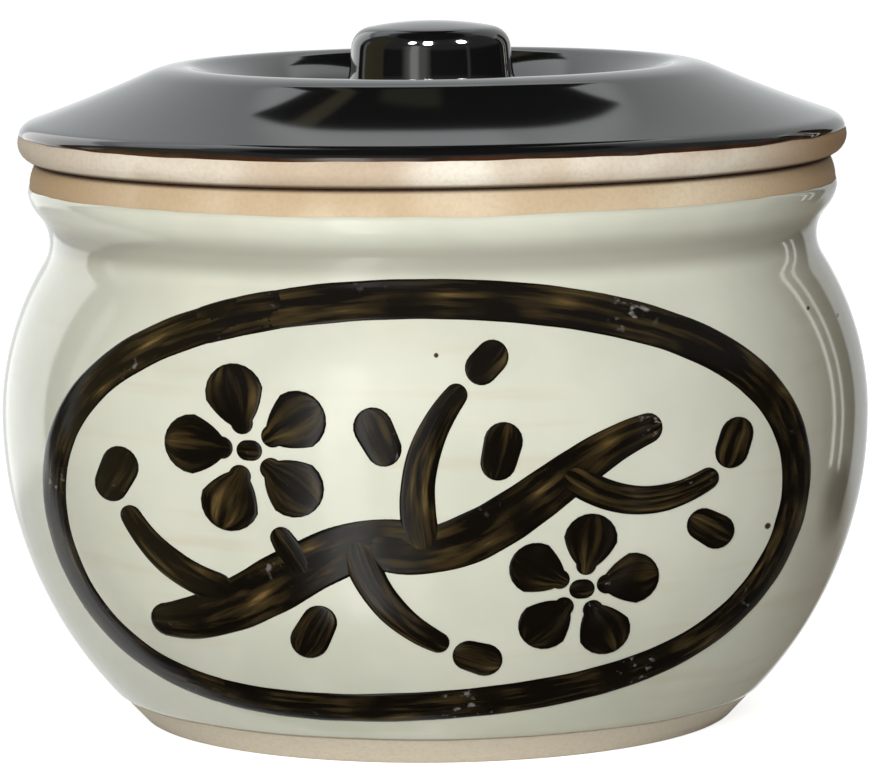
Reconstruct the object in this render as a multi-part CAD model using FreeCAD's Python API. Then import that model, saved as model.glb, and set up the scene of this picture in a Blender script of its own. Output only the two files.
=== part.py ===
import FreeCAD
import Part
import math
import os

# A squat, wide-bellied stoneware jar for pickled plums, with a loose lid.
#
# It is thrown on a wheel, so nearly everything is a solid of revolution about +Z.
# The origin is at the centre of the foot, on the table, and the painted side faces -Y.
# It has two loose parts. The jar is a clay pot with a rolled rim, glazed from just above the
# foot to just under the rim, and lined with glaze inside. The lid is a thick clay disc with a
# low ridge, a dish inside the ridge, and a drum knob luted onto a stub in the dish.
# A ring under the lid drops into the jar's throat and keeps the lid from sliding off.
# The clay is bare wherever jar, lid and kiln shelf touch each other.
# Each coat of glaze and each layer of brushwork is a thin shell on the surface that carries it.
#
# Outlines are drawn in the X-Z plane as (radius, height). Sizes are millimetres.

# Coats
GLAZE = 0.5
BRUSHWORK = 0.4

# Jar, outside, measured over the glaze
BELLY_RADIUS = 90.0
BELLY_HEIGHT = 63.0
LOWER_BELLY_CURVE = 84.0
UPPER_BELLY_CURVE = 60.0
NECK_RADIUS = 79.5
NECK_CURVE = 8.7
RIM_RADIUS = 83.9
RIM_CURVE = 8.5
FOOT_GLAZE_LINE = 6.2

# Jar, bare clay
SEAT_HEIGHT = 116.2
RIM_SIDE_CURVE = 9.8
RIM_EDGE_CURVE = 1.2
MOUTH_LIP_CURVE = 2.0
WALL = 6.0
FLOOR_TOP = 8.0
FLOOR_CURVE = 12.0
FOOT_EDGE_CURVE = 1.2
FOOT_RING_WIDTH = 8.0
FOOT_RECESS = 2.2
FOOT_RECESS_CURVE = 1.5
LINING_TOP = 113.0

# Lid, bare clay, with heights above the seat where lid and rim touch
LID_SEAT_RADIUS = 83.0
LID_EDGE_CORNER = (87.1, 4.9)
LID_EDGE_CURVE = 2.3
LID_GLAZE_LINE_ANGLE = 24.0
LID_SLOPE_CURVE = 330.0
RIDGE_OUTER_CORNER = (55.4, 18.6)
RIDGE_OUTER_CURVE = 16.0
RIDGE_INNER_CORNER = (50.3, 18.6)
RIDGE_INNER_CURVE = 5.0
DISH_SIDE = (42.5, 15.2)
DISH_SIDE_CURVE = 90.0
DISH_CORNER = (34.0, 10.3)
DISH_CURVE = 10.0

# Ring and hollow under the lid
RING_RADIUS = 70.6
RING_WIDTH = 5.6
RING_DEPTH = 7.6
RING_EDGE_CURVE = 1.5
RING_ROOT_CURVE = 1.0
HOLLOW_CORNER = (46.0, 5.3)
HOLLOW_CURVE = 20.0
HOLLOW_RIM_HEIGHT = 1.5
HOLLOW_RIM_CURVE = 3.0
HOLLOW_GLAZE_LINE = -4.0

# Knob, bare clay
KNOB_RADIUS = 16.05
KNOB_TOP = 27.25
KNOB_CROWN = 1.9
KNOB_SHOULDER_CURVE = 4.0
KNOB_ROOT_CURVE = 8.0
KNOB_STUB_HEIGHT = 8.2

# Painted oval in front view: the middle of the brush's path, and the stroke's width there.
# The path is an ellipse with squarer ends, a bow along its length and a slight lean.
OVAL_CENTRE = (-2.4, 49.8)
OVAL_HALF_WIDTH = 74.5
OVAL_HALF_HEIGHT = 41.8
OVAL_SQUARENESS = (-1.8, 1.3)
OVAL_BOW = (6.4, -4.6)
OVAL_LEAN = (1.8, -1.1)
OVAL_STROKE = 6.3
OVAL_SWELL = 0.7
OVAL_SWELL_TURN = 48.0
OVAL_POINTS = 36

# Painted plum sprig in front view, each stroke as (x, height, width) along the brush's path.
# The strokes of the branch run together, and the buds and blossoms stand just clear of it.
BRANCH_STROKES = (
    ((-53, 30, 7.5), (-37, 36, 11.0), (-20, 46, 10.5), (-6, 49, 8.0)),
    ((-11, 47, 8.0), (8, 50, 10.0), (24, 60, 9.0), (41, 69, 6.0)),
    ((-43, 38, 6.5), (-53, 43, 6.0), (-60, 51, 4.5)),
    ((-27, 44, 6.0), (-30, 49, 4.5)),
    ((-3, 50, 7.0), (-3, 63, 6.5), (4, 77, 4.5)),
    ((-15, 46, 6.5), (-9, 35, 6.0), (0, 28, 4.5)),
    ((27, 60, 6.0), (42, 55, 5.5), (53, 58, 4.5)),
)
BUD_STROKES = (
    ((-64, 57, 7.0), (-62, 61, 7.5)),
    ((-10, 67, 7.0), (-12, 71, 7.5)),
    ((9, 82, 6.5), (11, 84, 6.5)),
    ((12, 64, 7.0), (13, 68, 7.5)),
    ((6, 25, 6.5), (9, 24, 7.0)),
    ((-23, 32, 7.0), (-25, 28, 7.5)),
    ((58, 63, 7.0), (59, 66, 7.0)),
    ((52, 49, 6.5), (55, 47, 7.0)),
)
# Each blossom is (x, height, reach, lean), with its first petal leaning that many degrees left
BLOSSOMS = ((-36, 66, 17.0, 15), (28, 38, 15.5, -10))
PETALS = 5
# Each petal's brush marks, as (distance from the heart, width) shares of the blossom's reach
PETAL_MARKS = ((0.32, 0.26), (0.48, 0.52), (0.65, 0.68))
HEART_WIDTH = 4.0
HEART_LENGTH = 1.0
STROKE_STEPS = 6

# How far a cut reaches to clear the jar, and the least distance and turn that matter
FRONT_REACH = 100.0
TOUCHING = 1e-6
SMALL_TURN = 1e-4

# Places worked out from the sizes above
UPPER_CENTRE = (BELLY_RADIUS - UPPER_BELLY_CURVE, BELLY_HEIGHT)
LOWER_CENTRE = (BELLY_RADIUS - LOWER_BELLY_CURVE, BELLY_HEIGHT)
THROAT_RADIUS = NECK_RADIUS - GLAZE - WALL
KNOB_SEAT = DISH_CORNER[1] + KNOB_STUB_HEIGHT


def on_circle(centre, radius, angle):
    turn = math.radians(angle)
    return (centre[0] + radius * math.cos(turn), centre[1] + radius * math.sin(turn))


def angle_between(centre, place):
    return math.degrees(math.atan2(place[1] - centre[1], place[0] - centre[0]))


def centre_above(centre, reach, radius):
    """The point over the given radius that lies at a reach from a centre."""
    return (radius, centre[1] + math.sqrt(reach**2 - (radius - centre[0]) ** 2))


def centre_beside(centre, reach, height):
    """The point at the given height that lies outward of a centre, at a reach from it."""
    return (centre[0] + math.sqrt(reach**2 - (height - centre[1]) ** 2), height)


def centre_between(first, first_reach, second, second_reach):
    """The point at a reach from each of two centres, on the right going from first to second."""
    apart = math.dist(first, second)
    along = (apart**2 + first_reach**2 - second_reach**2) / (2 * apart)
    opening = math.degrees(math.acos(along / first_reach))
    return on_circle(first, first_reach, angle_between(first, second) - opening)


NECK_CENTRE = centre_above(
    UPPER_CENTRE, UPPER_BELLY_CURVE + NECK_CURVE, NECK_RADIUS + NECK_CURVE
)
RIM_CENTRE = centre_above(NECK_CENTRE, NECK_CURVE + RIM_CURVE, RIM_RADIUS - RIM_CURVE)
BELLY_TO_NECK = angle_between(UPPER_CENTRE, NECK_CENTRE)
NECK_TO_RIM = angle_between(NECK_CENTRE, RIM_CENTRE)


class Line:
    """A straight stretch of an outline."""

    def __init__(self, first, last):
        self.first = first
        self.last = last

    def turned(self):
        return Line(self.last, self.first)

    def moved(self, distance):
        """The same stretch, shifted to the right of the way it runs."""
        heading = math.radians(angle_between(self.first, self.last))
        across = (distance * math.sin(heading), -distance * math.cos(heading))
        first = (self.first[0] + across[0], self.first[1] + across[1])
        return Line(first, (self.last[0] + across[0], self.last[1] + across[1]))

    def edge(self):
        return Part.LineSegment(in_section(self.first), in_section(self.last)).toShape()


class Bend:
    """A stretch of an outline that follows a circle from one angle to another."""

    def __init__(self, centre, radius, start, end):
        self.centre = centre
        self.radius = radius
        self.start = start
        self.end = end
        self.first = on_circle(centre, radius, start)
        self.last = on_circle(centre, radius, end)

    def turned(self):
        return Bend(self.centre, self.radius, self.end, self.start)

    def moved(self, distance):
        """The same stretch, shifted to the right of the way it runs."""
        growth = distance if self.end > self.start else -distance
        return Bend(self.centre, self.radius + growth, self.start, self.end)

    def edge(self):
        middle = on_circle(self.centre, self.radius, (self.start + self.end) / 2)
        places = [in_section(place) for place in (self.first, middle, self.last)]
        return Part.Arc(*places).toShape()


def in_section(place):
    """A (radius, height) pair as a point of the X-Z plane."""
    return FreeCAD.Vector(place[0], 0, place[1])


def turned(outline):
    return [stretch.turned() for stretch in reversed(outline)]


def moved(outline, distance):
    """A smooth outline, shifted to the right of the way it runs."""
    return [stretch.moved(distance) for stretch in outline]


def rounded(corners):
    """An outline through (radius, height, curve) corners, with a plain point at each end."""
    outline = []
    here = corners[0]
    for before, corner, after in zip(corners, corners[1:], corners[2:]):
        coming = angle_between(before, corner)
        turn = math.remainder(angle_between(corner, after) - coming, 360)
        side = math.copysign(90, turn)
        reach = corner[2] * math.tan(math.radians(abs(turn) / 2))
        start = on_circle(corner, reach, coming + 180)
        centre = on_circle(start, corner[2], coming + side)
        bend = Bend(centre, corner[2], coming - side, coming - side + turn)
        outline += [Line(here, start), bend]
        here = bend.last
    return outline + [Line(here, corners[-1])]


def sagging(low, high, curve):
    """Two round bends with a hollow one in place of the straight line between them."""
    centre = centre_between(low.centre, low.radius + curve, high.centre, high.radius + curve)
    leaving = angle_between(low.centre, centre)
    arriving = angle_between(high.centre, centre)
    return [
        Bend(low.centre, low.radius, low.start, leaving),
        Bend(centre, curve, leaving + 180, arriving + 180),
        Bend(high.centre, high.radius, arriving, high.end),
    ]


def joined(*outlines):
    """Outlines laid end to end, with a straight line wherever two ends are apart."""
    whole = []
    for outline in outlines:
        if whole and math.dist(whole[-1].last, outline[0].first) > TOUCHING:
            whole.append(Line(whole[-1].last, outline[0].first))
        whole += outline
    return whole


def spun(outline):
    """The solid that a closed outline sweeps about the jar's axis."""
    ring = list(outline)
    if math.dist(ring[-1].last, ring[0].first) > TOUCHING:
        ring.append(Line(ring[-1].last, ring[0].first))
    face = Part.Face(Part.Wire([stretch.edge() for stretch in ring]))
    return face.revolve(FreeCAD.Vector(0, 0, 0), FreeCAD.Vector(0, 0, 1), 360)


def coat(outline, thickness):
    """A thin layer on the right of an outline."""
    return spun(joined(outline, turned(moved(outline, thickness))))


def glazed_outside():
    """The jar's outside over the glaze, from the foot's glaze line up to the rim's."""
    start = -math.degrees(
        math.asin((BELLY_HEIGHT - FOOT_GLAZE_LINE) / LOWER_BELLY_CURVE)
    )
    return [
        Bend(LOWER_CENTRE, LOWER_BELLY_CURVE, start, 0),
        Bend(UPPER_CENTRE, UPPER_BELLY_CURVE, 0, BELLY_TO_NECK),
        Bend(NECK_CENTRE, NECK_CURVE, 180 + BELLY_TO_NECK, NECK_TO_RIM),
        Bend(RIM_CENTRE, RIM_CURVE, NECK_TO_RIM - 180, 0),
    ]


def foot(clay_start, slope):
    """The recess, the ring that stands on the table, and the bevel up to the glaze line."""
    toe = clay_start[0] - clay_start[1] / math.tan(math.radians(slope))
    inner = toe - FOOT_RING_WIDTH
    return rounded(
        [
            (0, FOOT_RECESS),
            (inner - FOOT_RECESS, FOOT_RECESS, FOOT_RECESS_CURVE),
            (inner, 0, FOOT_EDGE_CURVE),
            (toe, 0, FOOT_EDGE_CURVE),
            clay_start,
        ]
    )


def rim_top():
    """Bare clay from the rim's glaze line over the seat to the inside of the lip."""
    side_centre = (RIM_RADIUS - GLAZE - RIM_SIDE_CURVE, RIM_CENTRE[1])
    edge_centre = centre_beside(
        side_centre, RIM_SIDE_CURVE - RIM_EDGE_CURVE, SEAT_HEIGHT - RIM_EDGE_CURVE
    )
    meeting = angle_between(side_centre, edge_centre)
    lip_centre = (THROAT_RADIUS + MOUTH_LIP_CURVE, SEAT_HEIGHT - MOUTH_LIP_CURVE)
    return joined(
        [
            Bend(side_centre, RIM_SIDE_CURVE, 0, meeting),
            Bend(edge_centre, RIM_EDGE_CURVE, meeting, 90),
        ],
        [Bend(lip_centre, MOUTH_LIP_CURVE, 90, 180)],
    )


def clay_inside():
    """The jar's clay floor and inner wall, from the middle of the floor up to the lining's top."""
    depth = GLAZE + WALL
    lower = LOWER_BELLY_CURVE - depth
    floor_centre = centre_beside(
        LOWER_CENTRE, lower - FLOOR_CURVE, FLOOR_TOP + FLOOR_CURVE
    )
    meeting = angle_between(LOWER_CENTRE, floor_centre)
    return joined(
        [Line((0, FLOOR_TOP), (floor_centre[0], FLOOR_TOP))],
        [
            Bend(floor_centre, FLOOR_CURVE, -90, meeting),
            Bend(LOWER_CENTRE, lower, meeting, 0),
            Bend(UPPER_CENTRE, UPPER_BELLY_CURVE - depth, 0, BELLY_TO_NECK),
            Bend(NECK_CENTRE, NECK_CURVE + depth, 180 + BELLY_TO_NECK, 180),
        ],
        [Line((THROAT_RADIUS, NECK_CENTRE[1]), (THROAT_RADIUS, LINING_TOP))],
    )


def jar_body():
    outside = moved(glazed_outside(), -GLAZE)
    slope = outside[0].start + 90
    pot = joined(
        foot(outside[0].first, slope), outside, rim_top(), turned(clay_inside())
    )
    return spun(pot)


def outer_glaze():
    return coat(moved(glazed_outside(), -GLAZE), GLAZE)


def lining_glaze():
    return coat(clay_inside(), -GLAZE)


def lid_outside():
    """The lid's clay from the seat's outer corner over the ridge to the knob's stub.

    It comes in two outlines: the bare edge, and the rest, which is glazed.
    """
    edge_line, edge, _, ridge, *dish = rounded(
        [
            (LID_SEAT_RADIUS, 0),
            LID_EDGE_CORNER + (LID_EDGE_CURVE,),
            RIDGE_OUTER_CORNER + (RIDGE_OUTER_CURVE,),
            RIDGE_INNER_CORNER + (RIDGE_INNER_CURVE,),
            DISH_SIDE + (DISH_SIDE_CURVE,),
            DISH_CORNER + (DISH_CURVE,),
            (KNOB_RADIUS, DISH_CORNER[1], KNOB_ROOT_CURVE),
            (KNOB_RADIUS, KNOB_SEAT),
        ]
    )
    edge, *slope = sagging(edge, ridge, LID_SLOPE_CURVE)
    split = LID_GLAZE_LINE_ANGLE
    bare = [edge_line, Bend(edge.centre, edge.radius, edge.start, split)]
    return bare, [Bend(edge.centre, edge.radius, split, edge.end)] + slope + dish


def knob_outside():
    """The knob's clay from the stub up the side and over the crown to the axis."""
    crown = (KNOB_RADIUS**2 + KNOB_CROWN**2) / (2 * KNOB_CROWN)
    crown_centre = (0, KNOB_TOP - crown)
    shoulder_centre = centre_above(
        crown_centre, crown - KNOB_SHOULDER_CURVE, KNOB_RADIUS - KNOB_SHOULDER_CURVE
    )
    meeting = angle_between(crown_centre, shoulder_centre)
    return [
        Line((KNOB_RADIUS, KNOB_SEAT), (KNOB_RADIUS, shoulder_centre[1])),
        Bend(shoulder_centre, KNOB_SHOULDER_CURVE, 0, meeting),
        Bend(crown_centre, crown, meeting, 90),
    ]


def stub_top():
    return Line((KNOB_RADIUS, KNOB_SEAT), (0, KNOB_SEAT))


def lid_hollow():
    """The lid's glazed underside, from the axis out and down the inside of the ring."""
    inside = RING_RADIUS - RING_WIDTH
    return rounded(
        [
            (0, HOLLOW_CORNER[1]),
            HOLLOW_CORNER + (HOLLOW_CURVE,),
            (inside, HOLLOW_RIM_HEIGHT, HOLLOW_RIM_CURVE),
            (inside, HOLLOW_GLAZE_LINE),
        ]
    )


def lid_ring():
    """The ring that drops into the throat, and the flat that sits on the rim."""
    inside = RING_RADIUS - RING_WIDTH
    return rounded(
        [
            (inside, HOLLOW_GLAZE_LINE),
            (inside, -RING_DEPTH, RING_EDGE_CURVE),
            (RING_RADIUS, -RING_DEPTH, RING_EDGE_CURVE),
            (RING_RADIUS, 0, RING_ROOT_CURVE),
            (LID_SEAT_RADIUS, 0),
        ]
    )


def seated(solid):
    """A piece of the lid, lifted from the seat's level to its place on the rim."""
    return solid.translated(FreeCAD.Vector(0, 0, SEAT_HEIGHT))


def lid_body():
    bare, glazed = lid_outside()
    return seated(spun(joined(lid_hollow(), lid_ring(), bare, glazed, [stub_top()])))


def lid_knob():
    return seated(spun(joined([stub_top().turned()], knob_outside())))


def lid_top_glaze():
    return seated(coat(joined(lid_outside()[1], knob_outside()), GLAZE))


def lid_underside_glaze():
    return seated(coat(lid_hollow(), GLAZE))


def brush_mark(path, share, angle):
    """A point on the edge of the brush's round mark, at an angle from the way it is going."""
    here = path.FirstParameter + share * (path.LastParameter - path.FirstParameter)
    middle = path.value(here)
    along = path.tangent(here)[0]
    heading = math.atan2(along.z, along.x) + math.radians(angle)
    half = middle.y / 2
    return FreeCAD.Vector(
        middle.x + half * math.cos(heading), 0, middle.z + half * math.sin(heading)
    )


def stroke_face(stroke):
    """One stroke of a round brush in front view, from (x, height, width) places on its way."""
    # The width is the path's Y, so that it changes as smoothly as the path
    path = Part.BSplineCurve()
    path.interpolate([FreeCAD.Vector(x, width, height) for x, height, width in stroke])
    shares = [step / STROKE_STEPS for step in range(STROKE_STEPS + 1)]
    marks = [(share, 90) for share in shares]
    marks += [(1, 45), (1, 0), (1, -45)]
    marks += [(share, -90) for share in reversed(shares)]
    marks += [(0, -135), (0, 180), (0, 135)]
    return closed_face([brush_mark(path, *mark) for mark in marks])


def closed_face(places):
    """A flat face inside a smooth closed curve."""
    curve = Part.BSplineCurve()
    curve.interpolate(places, PeriodicFlag=True)
    return Part.Face(Part.Wire(curve.toShape()))


def petal(blossom, number):
    """The stroke of one petal, from the blossom's heart out."""
    x, height, reach, lean = blossom
    heading = math.radians(90 + lean + number * 360 / PETALS)
    stroke = []
    for distance, width in PETAL_MARKS:
        place_x = x + reach * distance * math.cos(heading)
        place_z = height + reach * distance * math.sin(heading)
        stroke.append((place_x, place_z, reach * width))
    return stroke


def heart(blossom):
    """The dot in the middle of a blossom."""
    x, height = blossom[:2]
    half = HEART_LENGTH / 2
    return ((x - half, height, HEART_WIDTH), (x + half, height, HEART_WIDTH))


def painted(outline):
    """Brushwork on the jar's front, with its outline carried straight back onto the glaze."""
    layer = coat(glazed_outside()[:-1], BRUSHWORK)
    return outline.extrude(FreeCAD.Vector(0, -FRONT_REACH, 0)).common(layer)


def oval_path(turn):
    """The middle of the oval's stroke, at a turn about the oval's centre."""
    x = (
        OVAL_CENTRE[0]
        + OVAL_HALF_WIDTH * math.cos(turn)
        + OVAL_SQUARENESS[0] * math.cos(3 * turn)
        + OVAL_BOW[0] * math.sin(2 * turn)
    )
    height = (
        OVAL_CENTRE[1]
        + OVAL_HALF_HEIGHT * math.sin(turn)
        + OVAL_SQUARENESS[1] * math.sin(3 * turn)
        + OVAL_BOW[1] * math.cos(2 * turn)
        + OVAL_LEAN[0] * math.cos(turn)
        + OVAL_LEAN[1] * math.sin(2 * turn)
    )
    return (x, height)


def oval_edge(side):
    """One edge of the oval's stroke, outside its path at side 1 and inside it at side -1."""
    places = []
    for number in range(OVAL_POINTS):
        turn = 2 * math.pi * number / OVAL_POINTS
        swell = math.sin(turn + math.radians(OVAL_SWELL_TURN)) - math.cos(2 * turn)
        half = (OVAL_STROKE + OVAL_SWELL * swell) / 2
        here = oval_path(turn)
        heading = angle_between(here, oval_path(turn + SMALL_TURN))
        places.append(in_section(on_circle(here, side * half, heading - 90)))
    return closed_face(places)


def painted_oval():
    return painted(oval_edge(1).cut(oval_edge(-1)))


def painted_branch():
    first, *rest = [stroke_face(stroke) for stroke in BRANCH_STROKES]
    return painted(first.fuse(rest).removeSplitter())


def painted_blossoms():
    strokes = [heart(blossom) for blossom in BLOSSOMS]
    for blossom in BLOSSOMS:
        strokes += [petal(blossom, number) for number in range(PETALS)]
    return painted(Part.Compound([stroke_face(stroke) for stroke in strokes]))


def painted_buds():
    return painted(Part.Compound([stroke_face(stroke) for stroke in BUD_STROKES]))


SUBPARTS = (
    jar_body,
    outer_glaze,
    lining_glaze,
    painted_oval,
    painted_branch,
    painted_blossoms,
    painted_buds,
    lid_body,
    lid_knob,
    lid_top_glaze,
    lid_underside_glaze,
)

os.makedirs("parts", exist_ok=True)
for subpart in SUBPARTS:
    shape = subpart()
    name = subpart.__name__
    print(name, "solids", len(shape.Solids), "volume", round(shape.Volume), shape.isValid())
    shape.exportStep(os.path.join("parts", name + ".step"))
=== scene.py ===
import math

import bmesh
import bpy
from mathutils import Matrix, Vector, noise


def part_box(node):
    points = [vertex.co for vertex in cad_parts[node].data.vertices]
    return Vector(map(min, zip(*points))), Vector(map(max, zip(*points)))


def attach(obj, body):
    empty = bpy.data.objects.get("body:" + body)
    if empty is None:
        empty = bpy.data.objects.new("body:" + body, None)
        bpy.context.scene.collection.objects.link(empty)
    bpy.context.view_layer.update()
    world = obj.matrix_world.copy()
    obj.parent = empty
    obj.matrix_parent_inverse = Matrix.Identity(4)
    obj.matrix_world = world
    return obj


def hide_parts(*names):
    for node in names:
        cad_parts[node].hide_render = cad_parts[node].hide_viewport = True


# The looks of a squat stoneware jar for pickled plums, with a loose black lid.
#
# The clay pieces and their coats of glaze are outlines spun round the jar's axis, as they were
# thrown. Outlines are (radius, height) in millimetres, and the lid's heights are above the seat
# where lid and rim touch. The brushwork is strips of glaze, each pressed onto the jar's front
# along the path of its stroke.

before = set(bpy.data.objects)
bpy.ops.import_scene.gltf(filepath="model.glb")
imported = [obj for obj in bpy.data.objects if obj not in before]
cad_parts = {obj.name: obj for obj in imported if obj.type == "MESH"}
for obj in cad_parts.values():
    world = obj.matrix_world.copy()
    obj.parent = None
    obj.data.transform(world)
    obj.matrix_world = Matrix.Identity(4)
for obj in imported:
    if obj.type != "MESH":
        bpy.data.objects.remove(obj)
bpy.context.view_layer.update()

MM = 0.001

# Jar, outside, measured over the glaze
BELLY_RADIUS = 90.0
BELLY_HEIGHT = 63.0
LOWER_BELLY_CURVE = 84.0
UPPER_BELLY_CURVE = 60.0
NECK_RADIUS = 79.5
NECK_CURVE = 8.7
RIM_RADIUS = 83.9
RIM_CURVE = 8.5
FOOT_GLAZE_LINE = 5.4
GLAZE = 0.5

# Jar, bare clay
SEAT_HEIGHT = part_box("jar_body")[1].z / MM
RIM_SIDE_CURVE = 9.8
RIM_EDGE_CURVE = 1.2
MOUTH_LIP_CURVE = 2.0
WALL = 6.0
FLOOR_TOP = 8.0
FLOOR_CURVE = 12.0
FOOT_EDGE_CURVE = 1.2
FOOT_RING_WIDTH = 8.0
FOOT_RECESS = 2.2
FOOT_RECESS_CURVE = 1.5
LINING_TOP = 113.0

# Lid, bare clay
LID_RADIUS = 85.7
LID_EDGE_CURVE = 3.9
LID_GLAZE_LINE_ANGLE = 25.0
LID_SLOPE_CURVE = 330.0
RIDGE_RADIUS = 52.1
RIDGE_TOP = 18.6
RIDGE_OUTER_CURVE = 16.0
RIDGE_INNER_CORNER = (50.3, RIDGE_TOP)
RIDGE_INNER_CURVE = 5.0
DISH_SIDE = (42.5, 15.2)
DISH_SIDE_CURVE = 90.0
DISH_CORNER = (34.0, 10.3)
DISH_CURVE = 10.0
RING_RADIUS = 70.6
RING_WIDTH = 5.6
RING_DEPTH = 7.6
RING_EDGE_CURVE = 1.5
RING_ROOT_CURVE = 1.0
HOLLOW_CORNER = (46.0, 5.3)
HOLLOW_CURVE = 20.0
HOLLOW_RIM_HEIGHT = 1.5
HOLLOW_RIM_CURVE = 3.0
HOLLOW_GLAZE_LINE = -4.0
KNOB_RADIUS = 16.05
KNOB_TAPER = 1.0
KNOB_TOP = 27.25
KNOB_CROWN = 1.9
KNOB_SHOULDER_CURVE = 4.0
KNOB_ROOT_CURVE = 8.0

# Painted oval in front view: the middle of the brush's path, and the stroke's width there
OVAL_CENTRE = (-2.4, 49.8)
OVAL_HALF_WIDTH = 74.5
OVAL_HALF_HEIGHT = 41.8
OVAL_SQUARENESS = (-1.8, 1.3)
OVAL_BOW = (6.4, -4.6)
OVAL_LEAN = (1.8, -1.1)
OVAL_STROKE = 6.3
OVAL_SWELL = 0.7
OVAL_SWELL_TURN = 48.0
# The three sweeps of the brush that make the oval, in degrees from its right end
OVAL_SWEEPS = ((108, 184), (118, -134), (172, 232))

# Painted plum sprig in front view, each stroke as (x, height, width) along the brush's path
BRANCH_STROKES = (
    ((-53, 30, 7.5), (-37, 36, 11.0), (-20, 46, 10.5), (-6, 49, 8.0)),
    ((-11, 47, 8.0), (8, 50, 10.0), (24, 60, 9.0), (41, 69, 6.0)),
    ((-43, 38, 6.5), (-53, 43, 6.0), (-60, 51, 4.5)),
    ((-27, 44, 6.0), (-30, 49, 4.5)),
    ((-3, 50, 7.0), (-3, 63, 6.5), (4, 77, 4.5)),
    ((-15, 46, 6.5), (-9, 35, 6.0), (0, 28, 4.5)),
    ((27, 60, 6.0), (42, 55, 5.5), (53, 58, 4.5)),
)
BUD_STROKES = (
    ((-64, 57, 7.0), (-62, 61, 7.5)),
    ((-10, 67, 7.0), (-12, 71, 7.5)),
    ((9, 82, 6.5), (11, 84, 6.5)),
    ((12, 64, 7.0), (13, 68, 7.5)),
    ((6, 25, 6.5), (9, 24, 7.0)),
    ((-23, 32, 7.0), (-25, 28, 7.5)),
    ((58, 63, 7.0), (59, 66, 7.0)),
    ((52, 49, 6.5), (55, 47, 7.0)),
)
# Each blossom is (x, height, reach, lean), with its first petal leaning that many degrees left
BLOSSOMS = ((-36, 66, 17.0, 15), (28, 38, 15.5, -10))
PETALS = 5
PETAL_MARKS = ((0.32, 0.26), (0.48, 0.52), (0.65, 0.68))
HEART_WIDTH = 4.0
HEART_LENGTH = 1.0

# Brushwork stands this proud of the glaze, and a later stroke covers an earlier one
BRUSHWORK = 0.3
STROKE_LIFT = 0.012
STROKE_STEP = 1.2
STROKE_ROWS = 12
STROKE_END_TURNS = (8, 22, 38, 54, 72)
STROKE_WAVER = 0.05
WAVER_LENGTH = 7.0
THIN_SHARE = 0.12
DOME_POWER = 0.6
FLOW = 0.25
FLOW_LENGTH = 9.0
WAY_SAMPLES = 24
SMALL_SHARE = 1e-3
BEFORE_JAR = -120.0

# How finely outlines are drawn and spun
OUTLINE_STEP = 1.3
OUTLINE_TURN = 14.0
SPIN_STEPS = 256
TOUCHING = 1e-6

# Glaze thins to its edge over a distance, more roundly where the second number is larger, and
# its edge wavers up and down
CREAM_EDGE = (2.0, 2.0)
BLACK_EDGE = (2.6, 1.5)
GLAZE_EDGE_SHARE = 0.3
EDGE_WAVER = 0.7
EDGE_WAVER_LENGTH = 14.0
# How a coat's face ripples: how deep, how wide, and how much flatter than wide
THROWING_RINGS = (0.06, 70.0, 9.0)
POURED_GLAZE = (0.03, 25.0, 1.0)

# Cream glaze: its tones, its warm rings, painted shade in the neck's groove and on the right
# side, and how it thins at the foot
CREAM_TONES = ((0.66, 0.67, 0.55), (0.73, 0.73, 0.61))
WARM_RINGS = (0.62, 0.55, 0.40)
GROOVE_HEIGHT = 101.8
GROOVE_REACH = (0.8, 5.0)
GROOVE_GLAZE = (0.44, 0.43, 0.35)
FLASHED_SIDE = (60.0, 90.0)
FLASHED_GLAZE = (0.34, 0.30, 0.22)
THIN_BELOW = 20.0
THIN_GLAZE = (0.33, 0.26, 0.18)
# Specks of iron in it as (x, height, size) in front view
IRON_SPECKS = ((65.5, 46.5, 1.3), (0.3, 84.5, 0.9), (75.0, 87.5, 0.8), (82.0, 84.5, 0.7))
IRON_SPOT = (0.05, 0.03, 0.015)
# A faint painted dark reflection on the right side: its middle, how far it reaches and how dark
# it is
SMOKE_MARK = ((81.5, -36.0, 48.0), 12.0, 0.6)
SMOKED_GLAZE = (0.13, 0.10, 0.07)

# Black glaze, in full and where it thins to brown
BLACK_TONES = ((0.006, 0.006, 0.006), (0.06, 0.022, 0.008))

# Bare clay: its tones low and high and where one goes into the other, what it toasts to in
# patches and at its left side, painted shade in that colour at its right side, its grain, and
# painted shadow in the seam between rim and lid, from a radius outwards
JAR_TONES = ((0.80, 0.72, 0.58), (0.76, 0.63, 0.45))
JAR_TONE_HEIGHTS = (10, 100)
JAR_TOAST = (0.50, 0.33, 0.17)
JAR_LEFT_SHARE = 0.85
LID_TONES = ((0.93, 0.87, 0.74), (0.93, 0.87, 0.74))
LID_TONE_HEIGHTS = (0, 1)
LID_TOAST = (0.40, 0.225, 0.09)
LID_LEFT_SHARE = 0.4
LEFT_SIDE = (-80.0, -40.0)
# Where painted shade darkens the clay towards its right side
RIGHT_SIDE = (45.0, 85.0)
NO_TOAST_BELOW = (10.0, 50.0)
CLAY_GRAIN = (0.35, 0.24, 0.14)
SCORCHED_CLAY = (0.06, 0.03, 0.015)
SEAM_RADII = (79.5, 81.0)
SEAM_REACH = (0.25, 1.1)

# Iron brushwork: its ink, brown and ochre where it streaks, grey where the brush was dry, and
# darkest where it pools at a stroke's edges
INK = (0.005, 0.0035, 0.002)
BROWN_INK = (0.06, 0.040, 0.014)
OCHRE_INK = (0.19, 0.12, 0.04)
DRY_INK = (0.22, 0.21, 0.2)
POOLED_INK = (0.003, 0.002, 0.001)

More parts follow.
